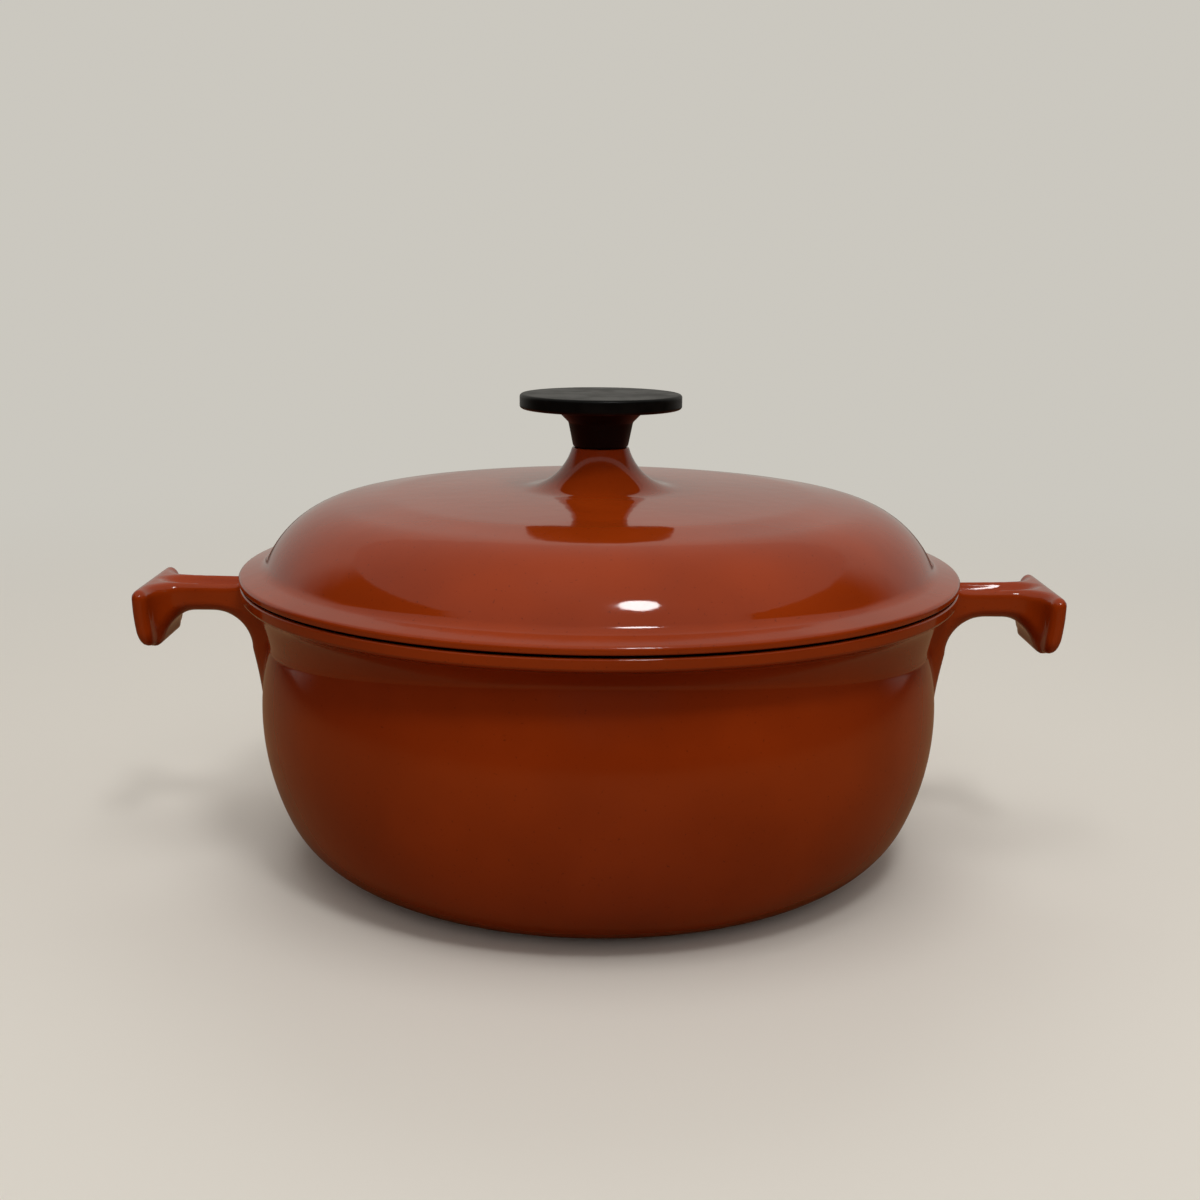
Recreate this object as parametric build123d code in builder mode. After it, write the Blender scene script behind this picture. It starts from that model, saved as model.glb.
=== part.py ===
from build123d import *
import os
from math import asin, atan2, cos, degrees, radians, sin, sqrt, tan

# Round enamelled cast-iron dutch oven with two hook handles and a lid with a screwed-on knob.
# Millimetres. The origin is on the hob under the middle of the pot, Z is up, the handles lie along X.

# Pot casting, as a section turned about Z
belly_radius = 121.0
belly_height = 56.4
wall_arc = 86.0
corner_arc = 35.3
wall = 4.6
enamel = 0.4
rim_height = 102.3
lip_radius = 127.2
lip_band = 4.0
lip_edge = 1.3
neck_height = 90.2
neck_fillet = 3.0
cove_arc = 18.0
mouth_radius = 115.4
mouth_flare = 22.0
mouth_edge = 1.2
throat_arc = 8.0
foot_ring_width = 14.0
foot_recess = 0.6
foot_taper = 45.0

# Hook handles, cast in one with the pot
bar_top = 98.7
bar_width = 18.4
bar_thickness = 9.5
bar_edge = 1.5
bar_root = 108.0
arch_start = 139.5
arch_arc = 14.5
hook_start = 144.0
hook_arc = 9.8
gusset_foot = 48.0
gusset_foot_radius = 119.8
grip_reach = 163.5
grip_width = 50.0
grip_thickness = 6.7
grip_low = 78.3
grip_round = 3.7
grip_crown = 5.0
grip_lean = 2.3
grip_corner = 2.4
grip_flare = 10.0
root_face = 115.0
root_flare = 8.0
groove_arc = 7.0
groove_depth = 4.9
groove_end = 161.0
groove_edge = 0.8

# Lid casting
lid_radius = 127.5
lid_edge_height = 103.4
lid_edge_depth = 3.0
lid_edge_round = 1.4
brim_slope = 15.0
brim_fillet = 5.0
crown_height = 136.8
crown_arc = 589.0
shoulder_arc = 35.6
shoulder_tilt = 8.9
lid_wall = 4.4
seat_radius = 121.0
locator_radius = 113.8
locator_bottom = 97.2
locator_taper = 1.6
locator_wall = 4.6
locator_edge = 1.2
hollow_fillet = 6.0
stem_top = 148.3
stem_radius = 10.3
stem_edge = 0.6
screw_bore = 6.6
pad_radius = 13.0
pad_height = 131.0

# Knob and its fixings
knob_top = 167.2
knob_radius = 28.76
knob_disc = 5.2
knob_edge = 1.1
neck_foot_radius = 9.7
neck_foot_round = 1.3
neck_top_radius = 11.5
neck_top = 157.2
neck_top_round = 1.5
neck_flare = 4.4
insert_radius = 4.5
insert_bottom = 149.0
insert_length = 11.0
insert_groove = 0.5
insert_groove_width = 2.5
insert_chamfer = 0.4
insert_throat = 3.6
thread_diameter = 6.0
thread_slack = 0.02
screw_length = 30.0
head_radius = 6.0
head_height = 3.6
head_round = 1.6
screw_point = 0.8
slot_width = 1.6
slot_depth = 1.8
washer_radius = 9.0
washer_bore = 6.4
washer_thickness = 1.6
washer_chamfer = 0.3

# Room allowed when an edge is picked by its place
pick_slack = 0.1

# Places that follow from the sizes above
wall_centre = (belly_radius - wall_arc, belly_height)
corner_angle = degrees(asin((belly_height - corner_arc) / (wall_arc - corner_arc)))
base_radius = wall_centre[0] + (wall_arc - corner_arc) * cos(radians(corner_angle))
neck_angle = degrees(asin((neck_height - belly_height) / wall_arc))
neck_point = (wall_centre[0] + wall_arc * cos(radians(neck_angle)), neck_height)
lip_low = rim_height - lip_band
lining_top = rim_height - 2 * mouth_edge
bar_low = bar_top - bar_thickness
shoulder_centre_radius = (crown_arc - shoulder_arc) * sin(radians(shoulder_tilt))
shoulder_centre_height = crown_height - crown_arc + (crown_arc - shoulder_arc) * cos(radians(shoulder_tilt))
shoulder_centre = (shoulder_centre_radius, shoulder_centre_height)
crown_centre = (0, crown_height - crown_arc)
stem_rise = stem_top - crown_centre[1]
stem_arc = (stem_rise**2 + stem_radius**2 - crown_arc**2) / (2 * (crown_arc - stem_radius))
stem_centre = (stem_radius + stem_arc, stem_top)
stem_join = 180 + degrees(atan2(stem_rise, stem_centre[0]))
brim_fall = tan(radians(brim_slope))
brim_edge = (lid_radius, lid_edge_height + lid_edge_depth)
arch_centre = (arch_start, bar_low - arch_arc)
hook_centre = (hook_start, bar_low - hook_arc)
grip_inside = grip_reach - grip_thickness
grip_outside = grip_reach - grip_lean
grip_shoulder = grip_low + grip_round
flare_end = bar_width / 2 + grip_flare
groove_axis = bar_top - groove_depth + groove_arc
groove_centre = (groove_end - groove_arc, groove_axis)
hook_end_angle = degrees(asin((grip_shoulder - hook_centre[1]) / hook_arc))
hook_end = (hook_start + hook_arc * cos(radians(hook_end_angle)), grip_shoulder)
grip_bottom = ((grip_outside + hook_end[0]) / 2, grip_low)
thread_radius = thread_diameter / 2
washer_bottom = pad_height - washer_thickness
turned = (Align.CENTER, Align.CENTER, Align.MIN)


def line_meets_arc(start, direction, centre, radius):
    """First point where a line through start, followed along direction, meets a circle."""
    offset = (start[0] - centre[0], start[1] - centre[1])
    size = sqrt(direction[0] ** 2 + direction[1] ** 2)
    along = (direction[0] / size, direction[1] / size)
    middle = offset[0] * along[0] + offset[1] * along[1]
    step = -middle - sqrt(middle**2 - offset[0] ** 2 - offset[1] ** 2 + radius**2)
    return (start[0] + step * along[0], start[1] + step * along[1])


def angle_on(centre, point):
    """Angle in degrees of a point seen from a centre."""
    return degrees(atan2(point[1] - centre[1], point[0] - centre[0]))


brim_foot = line_meets_arc(
    (0, brim_edge[1] + lid_radius * brim_fall), (-1, brim_fall), shoulder_centre, shoulder_arc
)
brim_angle = angle_on(shoulder_centre, brim_foot)


def hollow_of_pot(depth):
    """Half section of the pot's hollow, its surface depth inside the outside one."""
    lean = radians(mouth_flare)
    mouth = (mouth_radius + (wall - depth) / cos(lean), rim_height)
    throat = line_meets_arc(mouth, (-sin(lean), -cos(lean)), wall_centre, wall_arc - depth)
    throat_angle = angle_on(wall_centre, throat)
    with BuildSketch() as section:
        with BuildLine():
            Line((0, depth), (base_radius, depth))
            CenterArc((base_radius, corner_arc), corner_arc - depth, -90, 90 - corner_angle)
            CenterArc(wall_centre, wall_arc - depth, -corner_angle, corner_angle + throat_angle)
            Polyline(throat, mouth, (0, rim_height), (0, depth))
        make_face()
        fillet(section.vertices().sort_by_distance(throat)[0], throat_arc + depth - wall)
    return section.sketch


def hollow_of_lid(depth):
    """Half section of the lid's hollow, its surface depth inside the enamelled one."""
    inner_radius = locator_radius - locator_taper - locator_wall + depth
    inner_shoulder = shoulder_arc - lid_wall + depth
    inner_crown = crown_arc - lid_wall + depth
    spring = line_meets_arc((inner_radius, crown_height), (0, -1), shoulder_centre, inner_shoulder)
    spring_angle = angle_on(shoulder_centre, spring)
    pad_edge = line_meets_arc((pad_radius - depth, crown_height), (0, -1), crown_centre, inner_crown)
    pad_angle = angle_on(crown_centre, pad_edge)
    join_angle = 90 - shoulder_tilt
    with BuildSketch() as section:
        with BuildLine():
            Line((inner_radius, locator_bottom), spring)
            CenterArc(shoulder_centre, inner_shoulder, spring_angle, join_angle - spring_angle)
            CenterArc(crown_centre, inner_crown, join_angle, pad_angle - join_angle)
            Polyline(
                pad_edge,
                (pad_radius - depth, pad_height + depth),
                (0, pad_height + depth),
                (0, locator_bottom),
                (inner_radius, locator_bottom),
            )
        make_face()
        fillet(section.vertices().sort_by_distance(spring)[0], hollow_fillet + depth)
    return section.sketch


pot_hollow = hollow_of_pot(wall)
lid_hollow = hollow_of_lid(0)

# Enamel lining of the pot, from the floor up to the bare rim
with BuildPart() as pot_lining:
    with BuildSketch(Plane.XZ):
        add(hollow_of_pot(wall - enamel))
        add(pot_hollow, mode=Mode.SUBTRACT)
    revolve(axis=Axis.Z)
    split(bisect_by=Plane.XY.offset(lining_top), keep=Keep.BOTTOM)
pot_lining.part.label = "pot_lining"

# Enamel lining of the lid, from the locating ring up over the screw's pad
with BuildPart() as lid_lining:
    with BuildSketch(Plane.XZ):
        add(hollow_of_lid(enamel))
        add(lid_hollow, mode=Mode.SUBTRACT)
    revolve(axis=Axis.Z)
    split(bisect_by=Plane.XY.offset(locator_bottom + locator_edge), keep=Keep.TOP)
    with Locations((0, 0, pad_height)):
        Hole(screw_bore / 2)
lid_lining.part.label = "lid_lining"

# Plan of the handle on the +X side: root block, bar and grip plate, with cast fillets between them
with BuildPart() as handle_plan:
    with BuildSketch(Plane.XY.offset(gusset_foot)) as plan:
        with Locations(((bar_root + grip_inside) / 2, 0)):
            Rectangle(grip_inside - bar_root, bar_width)
        with Locations(((bar_root + root_face) / 2, 0)):
            Rectangle(root_face - bar_root, bar_width + 2 * root_flare)
        with Locations((grip_reach - grip_thickness / 2, 0)):
            Rectangle(grip_thickness, grip_width)
        bar_corners = plan.vertices().filter_by_position(Axis.Y, -bar_width / 2, bar_width / 2)
        fillet(bar_corners.group_by(Axis.X)[-1], grip_flare)
        bar_corners = plan.vertices().filter_by_position(Axis.Y, -bar_width / 2, bar_width / 2)
        fillet(bar_corners.group_by(Axis.X)[0], root_flare)
    extrude(amount=bar_top - gusset_foot)
    top_rim = handle_plan.faces().sort_by(Axis.Z)[-1].edges()
    fillet(top_rim.filter_by_position(Axis.X, root_face, grip_reach), bar_edge)

# Handle on the +X side: its side view run through the plan, every edge rounded, and a groove along the top
with BuildPart() as handle:
    with BuildSketch(Plane.XZ.offset(-grip_width / 2)):
        with BuildLine():
            Line((bar_root, bar_top), (grip_reach - grip_crown, bar_top))
            CenterArc((grip_reach - grip_crown, bar_top - grip_crown), grip_crown, 0, 90)
            Line((grip_reach, bar_top - grip_crown), (grip_outside, grip_shoulder))
            ThreePointArc((grip_outside, grip_shoulder), grip_bottom, hook_end)
            CenterArc(hook_centre, hook_arc, hook_end_angle, 90 - hook_end_angle)
            Line((hook_start, bar_low), (arch_start, bar_low))
            CenterArc(arch_centre, arch_arc, 90, 90)
            Polyline(
                (arch_start - arch_arc, arch_centre[1]),
                (gusset_foot_radius, gusset_foot),
                (bar_root, gusset_foot),
                (bar_root, bar_top),
            )
        make_face()
    extrude(amount=grip_width)
    grip_ends = handle.faces().filter_by(Axis.Y).edges()
    fillet(grip_ends.filter_by_position(Axis.X, hook_start, grip_reach), grip_corner)
    add(handle_plan.part, mode=Mode.INTERSECT)
    sides = handle.edges().filter_by(lambda edge: abs(edge.center().Y) > bar_width / 4)
    under = sides.filter_by_position(Axis.X, root_face + root_flare / 2, grip_inside - pick_slack)
    under = under.filter_by_position(Axis.Z, gusset_foot + pick_slack, bar_low + pick_slack)
    inner = sides.filter_by_position(Axis.X, grip_inside - pick_slack, grip_inside + bar_edge / 2)
    inner = inner.filter_by(lambda edge: abs(edge.center().Y) > flare_end + pick_slack)
    fillet(under + inner, bar_edge)
    with BuildSketch(Plane.XZ):
        with BuildLine():
            Polyline(
                groove_centre,
                (bar_root, groove_axis),
                (bar_root, groove_axis - groove_arc),
                (groove_centre[0], groove_axis - groove_arc),
            )
            CenterArc(groove_centre, groove_arc, -90, 90)
            Line((groove_end, groove_axis), groove_centre)
        make_face()
    revolve(axis=Axis((0, 0, groove_axis), (1, 0, 0)), mode=Mode.SUBTRACT)
    rim = handle.edges().filter_by_position(Axis.Z, bar_top - groove_edge, bar_top + pick_slack)
    rim = rim.filter_by_position(Axis.X, bar_root + pick_slack, groove_end)
    fillet(rim.filter_by(lambda edge: abs(edge.center().Y) < groove_arc), groove_edge)

# Pot casting: the outside turned about Z, the two handles run into it, then the hollow and the foot
with BuildPart() as pot:
    with BuildSketch(Plane.XZ) as outside:
        with BuildLine():
            Line((0, 0), (base_radius, 0))
            CenterArc((base_radius, corner_arc), corner_arc, -90, 90 - corner_angle)
            CenterArc(wall_centre, wall_arc, -corner_angle, corner_angle + neck_angle)
            RadiusArc(neck_point, (lip_radius, lip_low), cove_arc)
            Polyline((lip_radius, lip_low), (lip_radius, rim_height), (0, rim_height), (0, 0))
        make_face()
        lip = outside.vertices().group_by(Axis.X)[-1]
        fillet(lip, lip_edge)
        fillet(outside.vertices().sort_by_distance(neck_point)[0], neck_fillet)
    revolve(axis=Axis.Z)
    add(handle.part)
    mirror(handle.part, about=Plane.YZ)
    with BuildSketch(Plane.XZ):
        add(pot_hollow)
    revolve(axis=Axis.Z, mode=Mode.SUBTRACT)
    mouth = pot.edges().filter_by(GeomType.CIRCLE).group_by(Axis.Z)[-1].sort_by(SortBy.RADIUS)[0]
    fillet(mouth, mouth_edge)
    add(pot_lining.part, mode=Mode.SUBTRACT)
    with BuildSketch():
        Circle(base_radius - foot_ring_width)
    extrude(amount=foot_recess, taper=foot_taper, mode=Mode.SUBTRACT)
pot.part.label = "pot"

# Lid casting: brim, dome and stem turned about Z, over a locating ring that drops into the mouth
with BuildPart() as lid:
    with BuildSketch(Plane.XZ) as dome:
        with BuildLine():
            Line((0, stem_top), (stem_radius, stem_top))
            CenterArc(stem_centre, stem_arc, 180, stem_join - 180)
            CenterArc(crown_centre, crown_arc, stem_join - 180, 270 - stem_join - shoulder_tilt)
            CenterArc(shoulder_centre, shoulder_arc, 90 - shoulder_tilt, brim_angle + shoulder_tilt - 90)
            Polyline(
                brim_foot,
                brim_edge,
                (lid_radius, lid_edge_height),
                (seat_radius + lid_edge_height - rim_height, lid_edge_height),
                (seat_radius, rim_height),
                (locator_radius, rim_height),
                (locator_radius - locator_taper, locator_bottom),
                (0, locator_bottom),
                (0, stem_top),
            )
        make_face()
        fillet(dome.vertices().sort_by_distance(brim_foot)[0], brim_fillet)
        fillet(dome.vertices().group_by(Axis.X)[-1], lid_edge_round)
        fillet(dome.vertices().sort_by_distance((stem_radius, stem_top))[0], stem_edge)
        add(lid_hollow, mode=Mode.SUBTRACT)
        ring_bottom = dome.vertices().group_by(Axis.Y)[0].filter_by_position(Axis.X, pad_radius, lid_radius)
        fillet(ring_bottom, locator_edge)
    revolve(axis=Axis.Z)
    add(lid_lining.part, mode=Mode.SUBTRACT)
    with Locations((0, 0, stem_top)):
        Hole(screw_bore / 2)
lid.part.label = "lid"

# Brass insert with a locking groove, moulded into the knob
with BuildPart() as knob_insert:
    with Locations((0, 0, insert_bottom)):
        Cylinder(insert_radius, insert_length, align=turned)
    chamfer(knob_insert.edges(), insert_chamfer)
    with BuildSketch(Plane.XY.offset(insert_bottom + (insert_length - insert_groove_width) / 2)):
        Circle(insert_radius)
        Circle(insert_radius - insert_groove, mode=Mode.SUBTRACT)
    extrude(amount=insert_groove_width, mode=Mode.SUBTRACT)
    insert_block = knob_insert.part
    with Locations((0, 0, insert_bottom)):
        Cylinder(thread_radius, insert_length, align=turned, mode=Mode.SUBTRACT)
knob_insert.part.label = "knob_insert"

# Moulded knob: a tapered neck that flares into a flat disc
with BuildPart() as knob:
    with BuildSketch(Plane.XZ) as knob_section:
        with BuildLine():
            Polyline(
                (0, stem_top),
                (neck_foot_radius, stem_top),
                (neck_top_radius, neck_top),
                (neck_top_radius + neck_flare, neck_top + neck_flare),
                (neck_top_radius + neck_flare, knob_top - knob_disc),
                (knob_radius, knob_top - knob_disc),
                (knob_radius, knob_top),
                (0, knob_top),
                (0, stem_top),
            )
        make_face()
        fillet(knob_section.vertices().group_by(Axis.X)[-1], knob_edge)
        fillet(knob_section.vertices().sort_by_distance((neck_foot_radius, stem_top))[0], neck_foot_round)
        fillet(knob_section.vertices().sort_by_distance((neck_top_radius, neck_top))[0], neck_top_round)
    revolve(axis=Axis.Z)
    add(insert_block, mode=Mode.SUBTRACT)
    with Locations((0, 0, stem_top)):
        Cylinder(insert_throat, insert_bottom - stem_top, align=turned, mode=Mode.SUBTRACT)
knob.part.label = "knob"

# Washer under the screw's head, against the enamelled pad
with BuildPart() as screw_washer:
    with Locations((0, 0, washer_bottom)):
        Cylinder(washer_radius, washer_thickness, align=turned)
        Cylinder(washer_bore / 2, washer_thickness, align=turned, mode=Mode.SUBTRACT)
    chamfer(screw_washer.edges().filter_by(GeomType.CIRCLE).group_by(SortBy.RADIUS)[-1], washer_chamfer)
screw_washer.part.label = "screw_washer"

# Slotted pan-head screw, up through the stem into the knob's insert
with BuildPart() as knob_screw:
    with Locations((0, 0, washer_bottom - head_height)):
        Cylinder(head_radius, head_height, align=turned)
    fillet(knob_screw.edges().group_by(Axis.Z)[0], head_round)
    with Locations((0, 0, washer_bottom)):
        Cylinder(thread_radius - thread_slack, screw_length, align=turned)
    chamfer(knob_screw.edges().filter_by(GeomType.CIRCLE).sort_by(Axis.Z)[-1], screw_point)
    with Locations((0, 0, washer_bottom - head_height)):
        Box(2 * head_radius, slot_width, slot_depth, align=turned, mode=Mode.SUBTRACT)
knob_screw.part.label = "knob_screw"

os.makedirs("parts", exist_ok=True)
for piece in (pot, pot_lining, lid, lid_lining, knob, knob_insert, knob_screw, screw_washer):
    export_step(piece.part, f"parts/{piece.part.label}.step")
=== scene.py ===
"""Looks of a round enamelled cast iron dutch oven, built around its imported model."""

import logging
from dataclasses import dataclass, field
from enum import Enum
from math import asin, atan2, cos, degrees, hypot, pi, radians, sin, sqrt, tan
from typing import Any

import bpy
import numpy as np
from mathutils import Matrix, Vector


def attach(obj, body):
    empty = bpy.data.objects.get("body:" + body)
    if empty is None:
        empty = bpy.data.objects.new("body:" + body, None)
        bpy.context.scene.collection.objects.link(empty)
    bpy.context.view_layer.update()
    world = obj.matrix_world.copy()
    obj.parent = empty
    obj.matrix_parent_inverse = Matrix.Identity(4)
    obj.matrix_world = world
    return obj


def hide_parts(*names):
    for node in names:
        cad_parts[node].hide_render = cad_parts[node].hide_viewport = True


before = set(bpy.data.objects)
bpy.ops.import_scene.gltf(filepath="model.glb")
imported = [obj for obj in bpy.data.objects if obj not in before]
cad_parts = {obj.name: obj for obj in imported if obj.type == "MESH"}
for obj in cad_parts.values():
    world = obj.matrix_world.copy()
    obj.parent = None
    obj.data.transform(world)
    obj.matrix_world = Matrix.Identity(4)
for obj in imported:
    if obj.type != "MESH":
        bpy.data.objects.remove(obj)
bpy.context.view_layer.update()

LOG = logging.getLogger("dutch_oven")

# Sizes are in millimetres and angles in degrees. A mesh is turned to metres as it is made
MM = 0.001
RUN_STEP = 2.0
ARC_STEP = 6.0
TURN_STEPS = 320
SHARP_ANGLE = 38.0

# Points closer together than this are one point
SAME = 1e-6

# Half a stretch of a line and a little over, so that a crossing at its very end is found
HALF_STRETCH = 0.52

# How points settle on a field's surface: rounds, step in cells for its slope, least square of the slope
SETTLE_ROUNDS = 3
SLOPE_STEP = 0.05
LEAST_SLOPE = 0.25

# A Wave Texture of scale 1 goes through this many radians in a metre
WAVE_RADIANS = 20.0

Points = np.ndarray
Place = tuple[float, float]
Range = tuple[float, float]
Material = bpy.types.Material
Tree = bpy.types.NodeTree
Socket = bpy.types.NodeSocket
Settings = dict[str | int, Any]

# A node of a table: its kind, its settings, and its links as node.output
Row = tuple[str, Settings, dict[str | int, str]]
Rows = dict[str, Row]


class Body(Enum):
    """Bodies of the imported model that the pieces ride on."""

    POT = "pot"
    LID = "lid"


class Slot(Enum):
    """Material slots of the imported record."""

    ORANGE_ENAMEL = "orange_enamel"
    CREAM_ENAMEL = "cream_enamel"
    BLACK_PHENOLIC = "black_phenolic"


class Side(Enum):
    """Sides of the pot that have a handle, as the sign of X."""

    RIGHT = 1
    LEFT = -1


# Outlines: lines of points in a plane, drawn with the solid on their left


def arc(centre: Place, radius: float, start: float, end: float) -> Points:
    """Points along a circle: centre + radius (cos t, sin t), with t from start to end.

    Args:
        centre: middle of the circle.
        radius: its radius.
        start: first angle, in degrees.
        end: last angle, in degrees.

    Returns:
        The points, close enough together to look round.
    """
    turn = abs(end - start)
    count = int(max(turn / ARC_STEP, radians(turn) * radius / RUN_STEP)) + 2
    t = np.radians(np.linspace(start, end, count))
    return np.column_stack((centre[0] + radius * np.cos(t), centre[1] + radius * np.sin(t)))


def arc_from(start: Points, end: Points, centre: Points, radius: float) -> Points:
    """Points along a circle from one of its points to another, the shorter way round.

    Args:
        start: first point.
        end: last point.
        centre: middle of the circle.
        radius: its radius.

    Returns:
        The points from start to end.
    """
    first = angle_on(centre, start)
    sweep = (angle_on(centre, end) - first + 180) % 360 - 180
    return arc(tuple(centre), radius, first, first + sweep)


def arc_between(start: Place, end: Place, radius: float) -> Points:
    """Points along the shorter arc from start to end whose centre lies to the right of the way there.

    Args:
        start: first point.
        end: last point.
        radius: radius of the arc.

    Returns:
        The points from start to end.
    """
    along = np.subtract(end, start)
    chord = hypot(*along)
    right = np.array((along[1], -along[0])) / chord
    centre = np.add(start, end) / 2 + right * sqrt(radius**2 - chord**2 / 4)
    return arc_from(start, end, centre, radius)


def run(*corners: Place, step: float = RUN_STEP) -> Points:
    """Points along straight stretches from corner to corner.

    Args:
        corners: where the stretches meet.
        step: greatest distance between points.

    Returns:
        The points.
    """
    stretches = [np.array(corners[:1], float)]
    for start, end in zip(corners, corners[1:]):
        count = int(hypot(end[0] - start[0], end[1] - start[1]) / step) + 1
        stretches.append(np.linspace(start, end, count + 1)[1:])
    return np.concatenate(stretches)


def join(*lines: Points) -> Points:
    """Lines laid end to end, with doubled points taken out.

    Args:
        lines: the lines, in order.

    Returns:
        One line.
    """
    points = np.concatenate(lines)
    step = np.linalg.norm(np.diff(points, axis=0), axis=1)
    return points[np.concatenate(([True], step > SAME))]


def angle_on(centre: Place, point: Place) -> float:
    """Angle in degrees of a point seen from a centre."""
    return degrees(atan2(point[1] - centre[1], point[0] - centre[0]))


def line_meets_arc(start: Place, direction: Place, centre: Place, radius: float) -> Place:
    """First point where a line through start, followed along direction, meets a circle.

    Args:
        start: a point of the line.
        direction: way in which the line is followed.
        centre: middle of the circle.
        radius: its radius.

    Returns:
        The point.
    """
    along = np.array(direction) / hypot(*direction)
    offset = np.subtract(start, centre)
    middle = offset @ along
    step = -middle - sqrt(middle**2 - offset @ offset + radius**2)
    return tuple(np.array(start) + step * along)


def cross(a: Points, b: Points) -> Points:
    """Size of the cross product of vectors in the plane."""
    return a[..., 0] * b[..., 1] - a[..., 1] * b[..., 0]


def sideways(line: Points, distance: float) -> tuple[Points, Points, Points]:
    """Stretches of a line moved to its left: p + distance n, with n the stretch's direction turned left.

    Args:
        line: points of the line.
        distance: how far to the left, negative for the right.

    Returns:
        Starts, directions and left-hand normals of the stretches.
    """
    along = np.diff(line, axis=0)
    normal = np.column_stack((-along[:, 1], along[:, 0])) / np.linalg.norm(along, axis=1)[:, None]
    return line[:-1] + distance * normal, along, normal


def rounded(before: Points, after: Points, radius: float) -> Points:
    """Two lines joined by an arc at their corner: its centre is where both, moved sideways by radius, cross.

    Args:
        before: line that ends at the corner.
        after: line that starts there.
        radius: radius of the arc.

    Returns:
        One line with the corner rounded.
    """
    turn = np.sign(cross(before[-1] - before[-2], after[1] - after[0]))
    start_a, along_a, normal_a = sideways(before, turn * radius)
    start_b, along_b, normal_b = sideways(after, turn * radius)
    gap = start_b[None] - start_a[:, None]
    with np.errstate(divide="ignore", invalid="ignore"):
        slant = cross(along_a[:, None], along_b[None])
        share_a = cross(gap, along_b[None]) / slant
        share_b = cross(gap, along_a[:, None]) / slant
        fits = (np.abs(share_a - 0.5) < HALF_STRETCH) & (np.abs(share_b - 0.5) < HALF_STRETCH)
    i, j = np.argwhere(fits)[-1]
    centre = start_a[i] + share_a[i, j] * along_a[i]
    leave = centre - turn * radius * normal_a[i]
    meet = centre - turn * radius * normal_b[j]
    return join(before[: i + 1], arc_from(leave, meet, centre, radius), after[j + 1 :])


def chain(first: Points, *rest: tuple[float, Points]) -> Points:
    """Lines joined one after the other, with rounded corners.

    Args:
        first: the first line.
        rest: each other line, after the radius of the corner where it starts, 0 for none.

    Returns:
        One line.
    """
    line = first
    for radius, after in rest:
        line = rounded(line, after, radius) if radius else join(line, after)
    return line


def rise_to(line: Points, height: float) -> Points:
    """Part of a rising line from its start up to a height, ending exactly there.

    Args:
        line: points of the line.
        height: where it is cut.

    Returns:
        The points below the height, and the one at it.
    """
    last = int(np.argmax(line[:, 1] > height))
    low, high = line[last - 1], line[last]
    end = low + (high - low) * (height - low[1]) / (high[1] - low[1])
    return join(line[:last], end[None])


def thinned(line: Points, step: int = 5) -> Points:
    """Every step-th point of a line that is never seen, and its end."""
    return np.concatenate((line[:-1:step], line[-1:]))


# Skins: closed meshes in millimetres, with the marks that finishes read


@dataclass
class Skin:
    """A mesh before it is a Blender object."""

    points: Points
    faces: list[list[int]]
    marks: dict[str, Points] = field(default_factory=dict)

    def mirrored(self) -> "Skin":
        """The same skin on the other side of the YZ plane, with its faces turned to point outwards."""
        marks = {name: values.copy() for name, values in self.marks.items()}
        return Skin(self.points * (-1, 1, 1), [face[::-1] for face in self.faces], marks)

    def plus(self, other: "Skin") -> "Skin":
        """Both skins as one mesh.

        Args:
            other: skin to add. Marks that it doesn't have are 0 on it.

        Returns:
            The skin of both.
        """
        start = len(self.points)
        faces = self.faces + [[start + i for i in face] for face in other.faces]
        blank = np.zeros(len(other.points))
        marks = {
            name: np.concatenate((values, other.marks.get(name, blank)))
            for name, values in self.marks.items()
        }
        return Skin(np.concatenate((self.points, other.points)), faces, marks)

    def piece(self, name: str) -> bpy.types.Object:
        """Makes the Blender object of this skin, at the origin, in metres.

        Args:
            name: name of the piece.

        Returns:
            The object, linked to the scene.
        """
        mesh = bpy.data.meshes.new(name)
        mesh.from_pydata((self.points * MM).tolist(), [], self.faces)
        for mark, values in self.marks.items():
            layer = mesh.attributes.new(mark, "FLOAT", "POINT")
            layer.data.foreach_set("value", values.astype(np.float32))
        mesh.shade_smooth()
        mesh.set_sharp_from_angle(angle=radians(SHARP_ANGLE))
        piece = bpy.data.objects.new(name, mesh)
        bpy.context.scene.collection.objects.link(piece)
        return piece


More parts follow.
